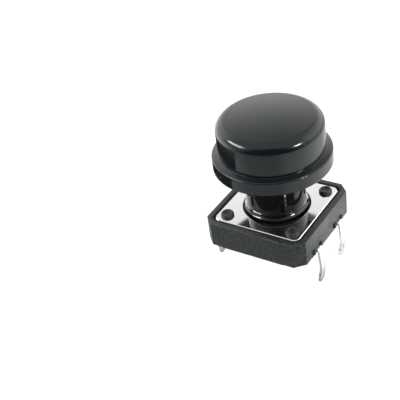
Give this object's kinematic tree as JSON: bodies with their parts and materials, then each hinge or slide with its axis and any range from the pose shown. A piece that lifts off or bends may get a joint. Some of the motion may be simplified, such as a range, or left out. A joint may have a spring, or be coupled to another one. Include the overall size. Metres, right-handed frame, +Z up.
{
  "type": "tactile push button switch",
  "caption": "Square through-hole tactile push button switch with a round press-on cap on a tall stem.",
  "frame": {"origin": "centre of the base's underside, on the plane where it seats on the board", "axes": "+Z up along the button's travel axis to the cap, X across from one row of pins to the other, Y along each row"},
  "size_m": [0.0134, 0.0128, 0.0182],
  "materials": {
    "base_plastic": "matt moulded black thermoplastic",
    "plunger_plastic": "glossy moulded black plastic",
    "cap_plastic": "satin moulded black plastic",
    "cover_steel": "polished stainless steel sheet",
    "dome_steel": "bright spring steel",
    "tinned_terminal": "bright tin plating"
  },
  "bodies": {
    "switch_base": {"base": "base_plastic", "terminal_centre": "tinned_terminal", "terminal_outer": "tinned_terminal", "contact_dome": "dome_steel", "cover_plate": "cover_steel"},
    "button": {"plunger": "plunger_plastic", "button_cap": "cap_plastic"}
  },
  "joints": [
    {"name": "button_travel", "type": "slide", "parent": "switch_base", "child": "button", "axis": [0, 0, -1], "range_m": [0, 0.0003], "stiffness_N_per_m": 5300, "deforming": ["contact_dome"]}
  ]
}
